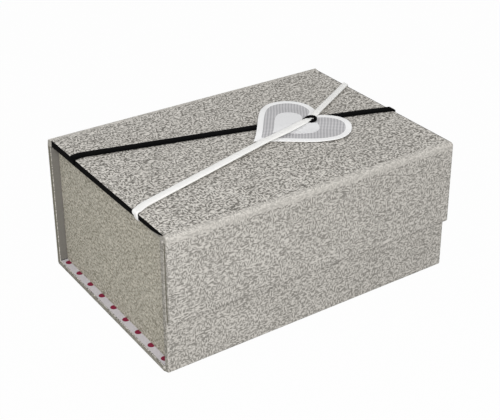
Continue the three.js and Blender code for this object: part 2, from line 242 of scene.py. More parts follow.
def face_plane(tree):
    """Across and up in the plane of a face. The back goes on from the lid, top down."""
    x, y, z = parts_of(tree, "Object")
    facing = parts_of(tree, "Normal")
    end_face = math_node(tree, "GREATER_THAN", math_node(tree, "ABSOLUTE", facing[0]), 0.7)
    back_face = math_node(tree, "GREATER_THAN", facing[1], 0.7)
    across = mix_value(tree, end_face, x, y)
    past_the_lid = math_node(tree, "ADD", y, 2 * LID_HEIGHT * MM)
    down_the_back = math_node(tree, "SUBTRACT", past_the_lid, z)
    round_the_case = mix_value(tree, back_face, math_node(tree, "ADD", y, z), down_the_back)
    up = mix_value(tree, end_face, round_the_case, z)
    return tuple(math_node(tree, "MULTIPLY", c, 1 / MM) for c in (across, up))


def side_facing(tree):
    """One where the surface looks along X, as the panels' turned edges do."""
    along_x = math_node(tree, "ABSOLUTE", parts_of(tree, "Normal")[0])
    return ranged(tree, along_x, *FACING_EDGE)


def top_facing(tree):
    return ranged(tree, parts_of(tree, "Normal")[2], *FACING_EDGE)


def point_value(tree, name):
    return node(tree, "ShaderNodeAttribute", attribute_name=name).outputs["Fac"]


def stretched_noise(tree, across, up, pitch_across, pitch_up, detail=1.0, shift=0.0):
    joined = node(tree, "ShaderNodeCombineXYZ")
    tree.links.new(math_node(tree, "MULTIPLY", across, 1 / pitch_across), joined.inputs[0])
    tree.links.new(math_node(tree, "MULTIPLY", up, 1 / pitch_up), joined.inputs[1])
    joined.inputs[2].default_value = shift
    noise = node(tree, "ShaderNodeTexNoise", noise_dimensions="3D")
    noise.inputs["Scale"].default_value = 1
    noise.inputs["Detail"].default_value = detail
    tree.links.new(joined.outputs[0], noise.inputs["Vector"])
    return noise.outputs["Fac"]


def blend_colour(tree, share, low, high, kind="MIX"):
    mix = node(tree, "ShaderNodeMix", data_type="RGBA", blend_type=kind)
    for name, value in (("Factor", share), ("A", low), ("B", high)):
        socket = next(s for s in mix.inputs if s.name == name and s.enabled)
        if isinstance(value, tuple):
            socket.default_value = (*value, 1)
        else:
            tree.links.new(value, socket)
    return next(s for s in mix.outputs if s.enabled)


def ranged(tree, value, low, high):
    span = node(tree, "ShaderNodeMapRange", clamp=True, interpolation_type="SMOOTHSTEP")
    span.inputs["From Min"].default_value = low
    span.inputs["From Max"].default_value = high
    tree.links.new(value, span.inputs["Value"])
    return span.outputs["Result"]


def finish_surface(material, colour, roughness, bump, bump_mm, specular=0.25, metallic=0.0):
    tree = material.node_tree
    surface = node(tree, "ShaderNodeBsdfPrincipled")
    out = node(tree, "ShaderNodeOutputMaterial")
    tree.links.new(colour, surface.inputs["Base Color"])
    if isinstance(roughness, (int, float)):
        surface.inputs["Roughness"].default_value = roughness
    else:
        tree.links.new(roughness, surface.inputs["Roughness"])
    surface.inputs["Metallic"].default_value = metallic
    surface.inputs["Specular IOR Level"].default_value = specular
    relief = node(tree, "ShaderNodeBump")
    relief.inputs["Strength"].default_value = 1
    relief.inputs["Distance"].default_value = bump_mm * MM
    tree.links.new(bump, relief.inputs["Height"])
    tree.links.new(relief.outputs[0], surface.inputs["Normal"])
    tree.links.new(surface.outputs[0], out.inputs["Surface"])
    return material


def linear(red, green, blue):
    """A colour as the eye reads it, 0 to 255, in the light units that shaders use."""
    return tuple(
        c / 12.92 if c <= 0.04045 else ((c + 0.055) / 1.055) ** 2.4
        for c in (v / 255 for v in (red, green, blue))
    )


# %% The weave and the papers printed with it
THREAD_EDGE = (0.40, 0.60)
PATCH_EDGE = (0.44, 0.56)
PATCH_SIZE = (3.2, 2.6)
CLOUD_PITCH = 22
CLOUD_SHARE = 0.1
# Painted raking light and shade: on faces that look up the print's dark is made darker and its pale
# paler by these steps.
TOP_SHADE_STEP, TOP_LIGHT_STEP = 1.3, 0.7
# Painted highlight with wear: creases make the print paler by this share.
WEAR_AND_HIGHLIGHT_SHARE = 0.5
# Faces that look along X are darkened towards this olive, partly as the turned edges' darker print
# and partly as painted shade.
EDGE_SHADE_SHARE = 0.85
EDGE_PRINT_AND_SHADE = (104, 100, 84)
PAPER_ROUGHNESS = 0.75


def weave(tree, across, up, pitch, dash):
    """How pale the printed thread is at a point, from 0 to 1."""
    upright_threads = stretched_noise(tree, across, up, pitch, dash, 1.0, 0.0)
    level_threads = stretched_noise(tree, across, up, dash, pitch, 1.0, 7.3)
    upright_dash = ranged(tree, upright_threads, *THREAD_EDGE)
    level_dash = ranged(tree, level_threads, *THREAD_EDGE)
    patches = stretched_noise(
        tree, across, up, PATCH_SIZE[0] * dash, PATCH_SIZE[1] * dash, 0.0, 12.9)
    level_here = ranged(tree, patches, *PATCH_EDGE)
    return mix_value(tree, level_here, upright_dash, level_dash)


def printed_paper(name, dark, pale, pitch, dash, top_light_contrast=0):
    """The last argument raises the print's contrast on faces that look up, as painted raking light
    and shade.
    """
    material = new_material(name)
    tree = material.node_tree
    across, up = face_plane(tree)
    thread = weave(tree, across, up, pitch, dash)
    cloudy = stretched_noise(tree, across, up, CLOUD_PITCH, CLOUD_PITCH, 3.0, 3.1)
    uneven = math_node(tree, "MULTIPLY", ranged(tree, cloudy, 0.3, 0.7), CLOUD_SHARE)
    darker = linear(*(v - TOP_SHADE_STEP * top_light_contrast for v in dark))
    paler = linear(*(v + TOP_LIGHT_STEP * top_light_contrast for v in pale))
    level_print = blend_colour(tree, thread, linear(*dark), linear(*pale))
    # Painted raking light and shade on faces that look up.
    top_lit_print = blend_colour(tree, thread, darker, paler)
    ground = blend_colour(tree, top_facing(tree), level_print, top_lit_print)
    toned = blend_colour(tree, uneven, ground, (1, 1, 1), "SOFT_LIGHT")
    # Wear and a painted highlight: creased points are blended towards the pale print.
    wear_and_highlight = math_node(tree, "MULTIPLY", point_value(tree, "crease"), WEAR_AND_HIGHLIGHT_SHARE)
    worn_and_highlit = blend_colour(tree, wear_and_highlight, toned, linear(*pale))
    # Painted shade, with the turned edges' darker print: faces that look along X are darkened by
    # the weight stored at their points.
    edge_shade = math_node(tree, "MULTIPLY", point_value(tree, "edge_shade"), side_facing(tree))
    edge_shade_weight = math_node(tree, "MULTIPLY", edge_shade, EDGE_SHADE_SHARE)
    edge_shaded = blend_colour(tree, edge_shade_weight, worn_and_highlit, linear(*EDGE_PRINT_AND_SHADE))
    return finish_surface(material, edge_shaded, PAPER_ROUGHNESS, thread, 0.03)


linen_paper = printed_paper("linen_paper", (134, 131, 125), (200, 196, 189), 0.66, 1.5, 22)
tray_paper = printed_paper("tray_paper", (148, 144, 130), (232, 226, 211), 0.55, 1.4)
print("linen and tray papers made")

# %% [markdown]
# ## Dotted lining paper
#
# The lining shows only as a narrow strip beside the tray and, once the lid is open, on
# every inner face. It is a pale paper with a square lattice of dark red dots. A dot is a
# circle round the nearest lattice point, so rounding the coordinates to the pitch finds
# its centre, and one distance gives its edge. The spine's lining stands deep behind the
# tray's wall, where the soft light of this scene is too even to shade it, so it gets a
# darker copy of the paper as painted shade, with its dots moved off the strip that shows.
#
# The other papers and boards need only fibre: fine noise between two close colours. Board
# shows its plies at a cut edge, so its noise is squeezed flat.

# %% Lining, board and black paper
DOT_PITCH = 12.0
DOT_RADIUS = 1.75
DOT_START_ACROSS = -76.8
DOT_START_UP = 3.15
DOT_SOFTNESS = 0.1
DOT_RED = (128, 26, 56)


def dotted_paper(name, start_across, dark, pale):
    material = new_material(name)
    tree = material.node_tree
    across, up = face_plane(tree)
    offsets = []
    for value, start in ((across, start_across), (up, DOT_START_UP)):
        moved = math_node(tree, "SUBTRACT", value, start)
        nearest = math_node(tree, "MULTIPLY", math_node(
            tree, "ROUND", math_node(tree, "DIVIDE", moved, DOT_PITCH)), DOT_PITCH)
        offsets.append(math_node(tree, "SUBTRACT", moved, nearest))
    squares = [math_node(tree, "MULTIPLY", o, o) for o in offsets]
    reach = math_node(tree, "SQRT", math_node(tree, "ADD", *squares))
    ground = ranged(tree, reach, DOT_RADIUS - DOT_SOFTNESS, DOT_RADIUS + DOT_SOFTNESS)
    fibre = stretched_noise(tree, across, up, 0.8, 0.8, 3.0, 1.7)
    plain = blend_colour(tree, fibre, linear(*dark), linear(*pale))
    colour = blend_colour(tree, ground, linear(*DOT_RED), plain)
    return finish_surface(material, colour, 0.7, fibre, 0.02)


def fibrous(name, dark, pale, grain, shift, roughness, bump_mm, specular=0.25):
    """Plain paper or board. Its fibres are as long across and up as the grain says."""
    material = new_material(name)
    tree = material.node_tree
    across, up = face_plane(tree)
    fibre = stretched_noise(tree, across, up, *grain, 3.0, shift)
    colour = blend_colour(tree, fibre, linear(*dark), linear(*pale))
    return finish_surface(material, colour, roughness, fibre, bump_mm, specular)


lining_paper = dotted_paper(
    "dotted_paper", DOT_START_ACROSS, (190, 186, 190), (212, 208, 212))
# Painted shade: a darker copy of the dotted paper for the spine's lining, which this even light
# leaves too bright.
lining_painted_shade = dotted_paper(
    "lining_painted_shade", DOT_START_ACROSS + DOT_PITCH / 2, (112, 109, 104), (128, 125, 119))
greyboard = fibrous("greyboard", (112, 106, 96), (158, 151, 140), (6.0, 0.35), 4.2, 0.95, 0.08)
black_paper = fibrous("black_paper", (4, 4, 4), (14, 13, 13), (0.5, 0.5), 2.2, 0.85, 0.03, 0.04)


# %% Metal for the magnets and the plates
def plated_metal(name, dark, pale, roughness, pitch_across, pitch_up):
    material = new_material(name)
    tree = material.node_tree
    across, up = face_plane(tree)
    grain = stretched_noise(tree, across, up, pitch_across, pitch_up, 4.0, 5.5)
    colour = blend_colour(tree, grain, linear(*dark), linear(*pale))
    rough = math_node(tree, "ADD", math_node(tree, "MULTIPLY", grain, 0.2), roughness)
    return finish_surface(material, colour, rough, grain, 0.01, metallic=1.0)


nickel = plated_metal("nickel_plate", (176, 176, 178), (206, 206, 208), 0.18, 1.5, 1.5)
tin_plate = plated_metal("tin_plate", (142, 144, 146), (182, 184, 186), 0.3, 8.0, 0.15)

# %% Dress the measured nodes that keep their shape
DRESS = {
    "spine_lining": lining_painted_shade,
    "board": greyboard,
    "lining": lining_paper,
    "patch": lining_paper,
    "edging": black_paper,
    "magnet": nickel,
    "catch_plate": tin_plate,
}


def dress(obj, material):
    obj.data.materials.clear()
    obj.data.materials.append(material)


for name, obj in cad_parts.items():
    for word, material in DRESS.items():
        if word in name:
            dress(obj, material)
            break
    else:
        dress(obj, tray_paper if name.startswith("tray") else linen_paper)
print("dressed", len(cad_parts), "nodes")

# %% [markdown]
# ## One printed sheet, folded over board
#
# A case like this starts flat: five boards are glued to the back of one printed sheet, and
# the sheet's margins are turned over their edges. So a panel is a sheet a quarter of a
# millimetre thick that goes over the outer face, round each edge, and half a millimetre
# on to the inner face, where the lining begins. It is built as rings swept along a path
# from panel to panel, which keeps the sheet in one piece round every fold.

# %% Where the case's outer faces lie, in millimetres
PAPER = 0.25
SHOWN = 2.79
TURN_IN = 0.5
HALF_BASE, HALF_TRIMMED, HALF_LID = 80, 79.25, 78.95
BACK_FACE, FRONT_FACE, FLAP_FACE = 55, -55, -58.1
SPINE_TOP, FRONT_TOP, FLAP_TOP, FLAP_END = 66.9, 66.8, 66.9, 27.0
LID_BACK = 51.9
CASE_FOLD, LID_CREASE, FLAP_CREASE = 1.1, 1.2, 1.6
SHARP_ANGLE = 35

# %% Arcs and rounded outlines
END_ROUNDING, BACK_ROUNDING = 0.55, 0.28
EDGE_ROWS = (0.4, 0.6)


def arc(centre, radius, start, end, steps):
    angles = (math.radians(start + (end - start) * k / steps) for k in range(steps + 1))
    return [(centre[0] + radius * math.cos(a), centre[1] + radius * math.sin(a)) for a in angles]


def outline_across(half_width, near, far, turn_in, outer=0.6, inner=0.3):
    """A closed outline across a panel: the place across it, and the depth from its outer face."""
    ring = [(half_width - 2 * outer, near)]
    ring += arc((half_width - outer, near + outer), outer, -90, 0, 6)
    ring += [(half_width, near + share * (far - near)) for share in EDGE_ROWS]
    ring += arc((half_width - inner, far - inner), inner, 0, 90, 3)
    ring.append((half_width - max(turn_in, 1.1 * inner), far))
    return ring + [(-x, depth) for x, depth in reversed(ring)]


# %% Stations along a sheet's path
def straight(start, end, inward, half_width, free_end=False):
    """Stations on a flat run. A free end is rounded over the board's edge."""
    start, end = Vector(start), Vector(end)
    along = (end - start).normalized()
    runs = [(start, half_width, 0.0, True)]
    if not free_end:
        runs.append((end, half_width, 0.0, True))
    else:
        runs.append((end - along * 1.2, half_width, 0.0, True))
        runs.append((end - along * TURN_IN * 1.2, half_width, 0.0, True))
        for angle in (0, 22, 45, 67, 90):
            turn = math.radians(angle)
            reach = END_ROUNDING * (1 - math.sin(turn))
            runs.append((end - along * reach, half_width, 1 - math.cos(turn), False))
    return [(place, Vector(inward), width, inset, lined) for place, width, inset, lined in runs]


def folded(centre, start, end, half_width, hub, radius, steps=9):
    """Stations round a fold. Their inner ends all meet at the hub, its inner corner."""
    stations = []
    for p, q in arc(centre, radius, start, end, steps):
        inward = (Vector(hub) - Vector((p, q))) / SHOWN
        stations.append((Vector((p, q)), inward, half_width, 0.0, False))
    return stations


# %% From rings to a finished piece
def make_piece(name, points, faces, material, layers=None):
    """A mesh object from points in millimetres, with optional named values at its points."""
    mesh = bpy.data.meshes.new(name)
    mesh.from_pydata([tuple(MM * c for c in p) for p in points], [], faces)
    for layer, values in (layers or {}).items():
        store = mesh.attributes.new(layer, "FLOAT", "POINT")
        store.data.foreach_set("value", values)
    mesh.materials.append(material)
    obj = bpy.data.objects.new(name, mesh)
    bpy.context.scene.collection.objects.link(obj)
    return obj


def ring_faces(rings, count):
    """The faces between rings of points that follow one another."""
    faces = []
    for ring in range(rings - 1):
        for k in range(count):
            a, b = ring * count + k, ring * count + (k + 1) % count
            faces.append((a, b, b + count, a + count))
    return faces


def end_faces(rings, count):
    return [tuple(range(count)), tuple(range((rings - 1) * count, rings * count))]


def tidy_normals(obj, sharp=SHARP_ANGLE):
    edit = bmesh.new()
    edit.from_mesh(obj.data)
    bmesh.ops.recalc_face_normals(edit, faces=edit.faces)
    edit.to_mesh(obj.data)
    edit.free()
    obj.data.shade_smooth()
    obj.data.set_sharp_from_angle(angle=math.radians(sharp))


def apply_modifiers(obj):
    graph = bpy.context.evaluated_depsgraph_get()
    final = bpy.data.meshes.new_from_object(obj.evaluated_get(graph))
    obj.modifiers.clear()
    obj.data = final


def thicken(obj, thickness):
    """Give a sheet its thickness, inwards from the face that shows."""
    solid = obj.modifiers.new("thickness", "SOLIDIFY")
    solid.thickness = thickness * MM
    solid.offset = -1
    apply_modifiers(obj)
    obj.data.shade_smooth()
    obj.data.set_sharp_from_angle(angle=math.radians(SHARP_ANGLE))


# By default each face that looks along X, such as a tray's side walls and the lid's ends, gets a
# weight of 0.4 of painted shade and darker edge print.
def wrapped_panel(name, stations, place, thickness=SHOWN, turn_in=TURN_IN, capped=True,
                  crease=0.0, edge_shade=lambda at, share: 0.4):
    """A sheet of paper over board. The inner face stays open where the lining goes.

    Its points keep how far they are creased, which sets their wear and painted highlight, and how
    much painted shade and darker edge print their faces that look along X get.
    """
    points, worn_and_highlit, edges = [], [], []
    for at, inward, half_width, inset, _ in stations:
        ring = outline_across(
            half_width - END_ROUNDING * inset, END_ROUNDING * inset,
            thickness - BACK_ROUNDING * inset, turn_in)
        for across, depth in ring:
            spot = at + inward * depth
            points.append(place(across, spot.x, spot.y))
            worn_and_highlit.append(crease)
            edges.append(edge_shade(at, depth / thickness))
    rings, count = len(stations), len(ring)
    faces = ring_faces(rings, count) + end_faces(rings, count)
    lined = [station[4] for station in stations]
    skip = {k * count + count // 2 - 1 for k in range(rings - 1) if lined[k] and lined[k + 1]}
    skip.add(len(faces) - 2)
    if not capped:
        skip.add(len(faces) - 1)
    obj = make_piece(name, points, faces, linen_paper, {"crease": worn_and_highlit, "edge_shade": edges})
    tidy_normals(obj)
    edit = bmesh.new()
    edit.from_mesh(obj.data)
    edit.faces.ensure_lookup_table()
    bmesh.ops.delete(edit, geom=[edit.faces[i] for i in skip], context="FACES")
    bmesh.ops.remove_doubles(edit, verts=edit.verts, dist=0.001 * MM)
    edit.to_mesh(obj.data)
    edit.free()
    thicken(obj, PAPER)
    return obj


def across_x(across, p, q):
    return (across, p, q)


# %% [markdown]
# ## The case: front panel, base and spine in one sheet
#
# These three don't move against each other, because the tray is glued to the base and the
# spine. One sweep goes down the front, under the base and up the spine. The front panel
# stops short of the lid, so its top edge is a turned edge that shows when the flap opens.


# %% The case's sheet
def case_edge_shade(at, share):
    """How much painted shade and darker edge print a turned end gets: the front panel's, the
    base's, then the spine's, whose outer rim gets little.
    """
    if at.x < FRONT_FACE + 0.1:
        return 0.4
    if at.x < BACK_FACE - 0.1:
        return 0.6
    return 1.0 if share > 0.3 else 0.2


# Painted shade of the gap between the flap and the front panel: the inner half of the flap's end is
# darkened, the outer half barely.
def flap_gap_shade(at, share):
    return 1.0 if share > 0.5 else 0.1


case_path = straight(
    (FRONT_FACE, SHOWN), (FRONT_FACE, FRONT_TOP), (1, 0), HALF_TRIMMED, free_end=True)
case_path.reverse()
case_path += folded((FRONT_FACE + CASE_FOLD, CASE_FOLD), 180, 270, HALF_TRIMMED,
                    (FRONT_FACE + SHOWN, SHOWN), CASE_FOLD)
case_path += straight((FRONT_FACE + SHOWN, 0), (BACK_FACE - SHOWN, 0), (0, 1), HALF_BASE)
case_path += folded((BACK_FACE - CASE_FOLD, CASE_FOLD), 270, 360, HALF_BASE,
                    (BACK_FACE - SHOWN, SHOWN), CASE_FOLD)
case_path += straight((BACK_FACE, SHOWN), (BACK_FACE, SPINE_TOP), (-1, 0), HALF_BASE)
case_path.reverse()
case_wrap = wrapped_panel("case_wrap", case_path, across_x, edge_shade=case_edge_shade)
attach(case_wrap, "case")
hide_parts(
    "front_cover", "base_front_fold", "base_cover", "base_spine_fold", "spine_cover")
print("case sheet:", len(case_wrap.data.vertices), "points")

# %% The lid's and the flap's sheets
lid_path = straight((LID_BACK, LID_HEIGHT), (FRONT_FACE, LID_HEIGHT), (0, -1), HALF_LID)
lid_wrap = wrapped_panel("lid_wrap", lid_path, across_x, capped=False)
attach(lid_wrap, "lid")
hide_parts("lid_cover")

flap_path = straight(
    (FLAP_FACE, FLAP_TOP), (FLAP_FACE, FLAP_END), (1, 0), HALF_TRIMMED, free_end=True)
flap_wrap = wrapped_panel("flap_wrap", flap_path, across_x, edge_shade=flap_gap_shade)
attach(flap_wrap, "flap")
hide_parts("flap_cover")
print("lid and flap sheets made")

# %% [markdown]
# ## Black strips on the lid's short edges
#
# The lid's cover isn't turned in at its short edges. A strip of black paper hides the board
# there. From the spine to about y = -20 the strip reaches below the lid's underside, as
# painted shade of the gap between the lid and the tray's wall, and towards the front it
# narrows to nothing at the front corner. A flat bar would look thick where it tapers, so
# its outline is drawn at six places along it.

# %% A tapered strip at each short edge
# Painted shade: the lid's underside is at 67.15 mm, so where these lower edges lie below it the
# black strip stands in for the shade of the gap under the lid.
STRIP_AND_GAP_SHADE_EDGE = (
    (LID_BACK, 66.6), (20, 66.7), (-20, 67.1), (-46, 67.7), (-51, 68.5), (-54.8, 69.6))
STRIP_TOP, STRIP_INSIDE, STRIP_OUTSIDE, STRIP_ROUNDING = 69.85, 78.7, 79.1, 0.08



def lid_strip_with_gap_shade(side, sign):
    """A strip of black paper that tapers to nothing at the front corner, and near the spine reaches
    below the lid as painted shade of the gap.
    """
    points = []
    for y, low in STRIP_AND_GAP_SHADE_EDGE:
        points += [(sign * x, y, z) for x, z in (
            (STRIP_INSIDE, low),
            (STRIP_OUTSIDE - STRIP_ROUNDING, low),
            (STRIP_OUTSIDE, low + STRIP_ROUNDING),
            (STRIP_OUTSIDE, STRIP_TOP - STRIP_ROUNDING),
            (STRIP_OUTSIDE - STRIP_ROUNDING, STRIP_TOP),
            (STRIP_INSIDE, STRIP_TOP),
        )]
    rings = len(STRIP_AND_GAP_SHADE_EDGE)
    count = len(points) // rings
    faces = ring_faces(rings, count) + end_faces(rings, count)
    strip = make_piece(f"lid_strip_with_gap_shade_{side}", points, faces, black_paper)
    tidy_normals(strip)
    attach(strip, "lid")
    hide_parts(f"lid_edging_{side}")


lid_strip_with_gap_shade("left", -1)
lid_strip_with_gap_shade("right", 1)

# %% [markdown]
# ## The creases that work as hinges
#
# Between two boards the paper alone bends, with the lining glued to its back. A rigid
# quarter round would tear open when the lid lifts, so each crease is a strip of many rows
# from the edge of one panel to the edge of the next.

# %% Outer creases
CREASE_ROWS = 14
HALF_LID_CREASE = 79.8
HUB_HEIGHT = LID_HEIGHT - SHOWN
crease_start = [(Vector((BACK_FACE, SPINE_TOP)), Vector((-1, 0)), HALF_BASE, 0.0, True)]
crease_end = [(Vector((LID_BACK, LID_HEIGHT)), Vector((0, -1)), HALF_TRIMMED, 0.0, True)]
lid_bend = folded((BACK_FACE - LID_CREASE, LID_HEIGHT - LID_CREASE), 0, 90, HALF_LID_CREASE,
                  (BACK_FACE - SHOWN, HUB_HEIGHT), LID_CREASE, CREASE_ROWS)
lid_crease_path = crease_start + lid_bend + crease_end
lid_crease = wrapped_panel("lid_crease", lid_crease_path, across_x, capped=False, crease=1.0)
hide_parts("lid_fold")
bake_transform(lid_crease)

flap_start = [(Vector((FRONT_FACE, LID_HEIGHT)), Vector((0, -1)), HALF_TRIMMED, 0.0, True)]
flap_end = [(Vector((FLAP_FACE, FLAP_TOP)), Vector((1, 0)), HALF_TRIMMED, 0.0, True)]
flap_bend = folded((FLAP_FACE + FLAP_CREASE, LID_HEIGHT - FLAP_CREASE), 90, 180, HALF_TRIMMED,
                   (FLAP_FACE + SHOWN, HUB_HEIGHT), FLAP_CREASE, CREASE_ROWS)
flap_crease_path = flap_start + flap_bend + flap_end
flap_crease = wrapped_panel("flap_crease", flap_crease_path, across_x, capped=False, crease=1.0)
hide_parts("flap_fold")
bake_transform(flap_crease)


# %% Lining over each crease
HALF_LINING = 78.4
LINING_PAPER = 0.12


def crease_lining(name, start, end, outward):
    """A strip of lining from panel to panel behind a crease, in many rows."""
    rows, columns = 16, 24
    points, faces = [], []
    for r in range(rows + 1):
        at = Vector(start).lerp(Vector(end), r / rows)
        for c in range(columns + 1):
            points.append((HALF_LINING * (2 * c / columns - 1), at.x, at.y))
    for r in range(rows):
        for c in range(columns):
            a = r * (columns + 1) + c
            faces.append((a, a + 1, a + columns + 2, a + columns + 1))
    obj = make_piece(name, points, faces, lining_paper)
    edit = bmesh.new()
    edit.from_mesh(obj.data)
    edit.normal_update()
    edit.faces.ensure_lookup_table()
    if edit.faces[0].normal.dot(Vector(outward)) < 0:
        bmesh.ops.reverse_faces(edit, faces=edit.faces)
    edit.to_mesh(obj.data)
    edit.free()
    thicken(obj, LINING_PAPER)
    return obj


lid_crease_lining = crease_lining(
    "lid_crease_lining", (52.1, 66.9), (51.9, 67.1), (0, -1, -1))
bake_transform(lid_crease_lining)
flap_crease_lining = crease_lining(
    "flap_crease_lining", (-55.0, 67.1), (-55.2, 66.9), (0, 1, -1))
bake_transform(flap_crease_lining)
print("creases made")

# %% [markdown]
# ## The tray
#
# The tray is four thin boards wrapped in a finer, olive grey print. The wrap turns over
# the rim, so each wall gets a rounded top edge. The side walls are a little lower than
# the end walls, which leaves room for the tails of the elastics under the lid.

# %% Tray walls
TRAY_SHOWN = 2.29
TRAY_FOOT, SIDE_RIM, END_RIM = 2.9, 65.8, 66.8
TRAY_SIDE, TRAY_END = 76, 52.1
HALF_END_WALL = 73.6


def tray_wall(side, place, half_width, rim):
    path = straight((0, TRAY_FOOT), (0, rim), (1, 0), half_width, free_end=True)
    wall = wrapped_panel(
        f"tray_{side}_wrap", path, place, thickness=TRAY_SHOWN, turn_in=0.0)
    dress(wall, tray_paper)
    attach(wall, "case")
    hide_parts(f"tray_{side}_cover")


tray_wall("left", lambda across, p, q: (-TRAY_SIDE + p, across, q), TRAY_END, SIDE_RIM)
tray_wall("right", lambda across, p, q: (TRAY_SIDE - p, across, q), TRAY_END, SIDE_RIM)
tray_wall("front", lambda across, p, q: (across, -TRAY_END + p, q), HALF_END_WALL, END_RIM)
tray_wall("back", lambda across, p, q: (across, TRAY_END - p, q), HALF_END_WALL, END_RIM)
print("tray walls made")

# %% [markdown]
# ## Two crossed elastics
#
# Each elastic is a flat woven band from short edge to short edge, with its tails glued
# under the lid. The white one runs over the tag. The black one runs under it, comes up
# through the hole as a rolled cord, loops over the white band and goes down again, and
# that is what traps the tag. Each band is a closed outline swept along knots in space. A
# band is flat on the lid, nearly round in the loop, and narrower where it is glued.

# %% A smooth path and a band's outline
EDGE_X = HALF_TRIMMED
BAND_WIDTH, BAND_THICKNESS = 4.1, 1.15
TAIL_WIDTH, TAIL_THICKNESS = 2.6, 0.35
CORD_WIDTH, CORD_THICKNESS = 1.75, 1.3
REST_HEIGHT = LID_HEIGHT + 0.03 + BAND_THICKNESS / 2
BAND_FLATNESS, CORD_FLATNESS = 2.9, 2.2
RING_POINTS = 24


def smooth(value, low, high):
    share = min(max((value - low) / (high - low), 0), 1)
    return share * share * (3 - 2 * share)


def curve_through(knots, spacing):
    """Points on a smooth curve through knots in two or three dimensions."""
    knots = [Vector(k) for k in knots]
    points = []
    padded = [knots[0], *knots, knots[-1]]
    for a, b, c, d in zip(padded, padded[1:], padded[2:], padded[3:]):
        steps = max(2, round((c - b).length / spacing))
        reach_in = min((b - a).length, (c - b).length) if a != b else (c - b).length
        reach_out = min((d - c).length, (c - b).length) if d != c else (c - b).length
        slope_in = (c - a).normalized() * reach_in
        slope_out = (d - b).normalized() * reach_out
        for k in range(steps):
            t = k / steps
            points.append(b * (2 * t ** 3 - 3 * t * t + 1) + slope_in * (t ** 3 - 2 * t * t + t)
                          + c * (3 * t * t - 2 * t ** 3) + slope_out * (t ** 3 - t * t))
    points.append(knots[-1])
    return points


def band_outline(width, thickness, flatness):
    outline = []
    for k in range(RING_POINTS):
        angle = 2 * math.pi * k / RING_POINTS
        c, s = math.cos(angle), math.sin(angle)
        outline.append((
            width / 2 * math.copysign(abs(c) ** (2 / flatness), c),
            thickness / 2 * math.copysign(abs(s) ** (2 / flatness), s),
        ))
    return outline


def woven_band(name, stations, material):
    """Stations are (place, side, width, thickness). Points keep their lay in the weave."""
    points, across_lay, along_lay = [], [], []
    travelled = 0.0
    for k, (place, side, width, thickness) in enumerate(stations):
        before = stations[max(k - 1, 0)][0]
        after = stations[min(k + 1, len(stations) - 1)][0]
        along = (after - before).normalized()
        across = (side - along * side.dot(along)).normalized()
        up = along.cross(across)
        travelled += (place - before).length
        share = min((BAND_WIDTH - width) / (BAND_WIDTH - CORD_WIDTH), 1)
        flatness = BAND_FLATNESS + (CORD_FLATNESS - BAND_FLATNESS) * share
        for s, u in band_outline(width, thickness, flatness):
            points.append(place + across * s + up * u)
            across_lay.append(s * BAND_WIDTH / width)
            along_lay.append(travelled)
    rings = len(stations)
    faces = ring_faces(rings, RING_POINTS) + end_faces(rings, RING_POINTS)
    obj = make_piece(name, points, faces, material, {"across": across_lay, "along": along_lay})
    tidy_normals(obj, sharp=50)
    return obj


# %% Round the lid's edge and under it
TAIL_LENGTH = 14.0
LID_UNDERSIDE = 67.15
JOIN_X = EDGE_X - 1.2
SLANT_LENGTH = 3.6
EDGE_SPACING, RUN_SPACING = 0.35, 0.7


def edge_stations(sign, y, slope, width=BAND_WIDTH):
    """From the tail under the lid, round its edge, to the top, where it has the run's slant."""
    low = LID_UNDERSIDE - 0.06 - TAIL_THICKNESS / 2
    profile = [(EDGE_X - TAIL_LENGTH, low), (EDGE_X - 7, low), (EDGE_X - 0.95, low)]
    profile += arc((EDGE_X - 0.6, LID_UNDERSIDE + 0.6), 0.8, -80, 0, 5)
    profile += arc((EDGE_X - 0.8, REST_HEIGHT - 1.0), 1.0, 0, 80, 6)
    profile.append((JOIN_X, REST_HEIGHT))
    path = curve_through(profile, EDGE_SPACING)
    lean = Vector((1, slope)).normalized()
    stations, from_join = [], 0.0
    for k in range(len(path) - 1, -1, -1):
        ahead, behind = path[min(k + 1, len(path) - 1)], path[max(k - 1, 0)]
        tangent = (ahead - behind).normalized()
        if k < len(path) - 1:
            from_join += (path[k + 1] - path[k]).length
        slanted = min(from_join, SLANT_LENGTH)
        straightened = smooth(from_join, 0.5 * SLANT_LENGTH, 1.2 * SLANT_LENGTH)
        hx, hy = lean.lerp(Vector((1, 0)), straightened).normalized()
        side = Vector((hy * tangent.x, hx, hy * sign * tangent.y))
        narrowed = 1 - smooth(path[k].y, LID_UNDERSIDE, LID_HEIGHT + 0.3)
        stations.append((
            Vector((sign * path[k].x, y + sign * slope * slanted, path[k].y)),
            side,
            width + (TAIL_WIDTH - width) * narrowed,
            BAND_THICKNESS + (TAIL_THICKNESS - BAND_THICKNESS) * math.sqrt(narrowed),
        ))
    return stations[::-1]


def level_side(path, k):
    heading = path[min(k + 1, len(path) - 1)] - path[max(k - 1, 0)]
    return Vector((-heading.y, heading.x, 0)).normalized()


def run_stations(knots, size_at):
    """A run over the lid, flat side down, between two joins."""
    path = curve_through(knots, RUN_SPACING)
    return [(place, level_side(path, k), *size_at(place)) for k, place in enumerate(path)]


def end_slope(outer, inner):
    return (outer[1] - inner[1]) / (outer[0] - inner[0])


# %% [markdown]
# ## The elastics' weave
#
# Narrow elastic shows fine ribs along it and picks across it. A sine of each point's lay in
# the band follows every bend, which a pattern in space wouldn't.

# %% Woven elastic
RIB_PITCH, PICK_PITCH = 0.44, 0.55


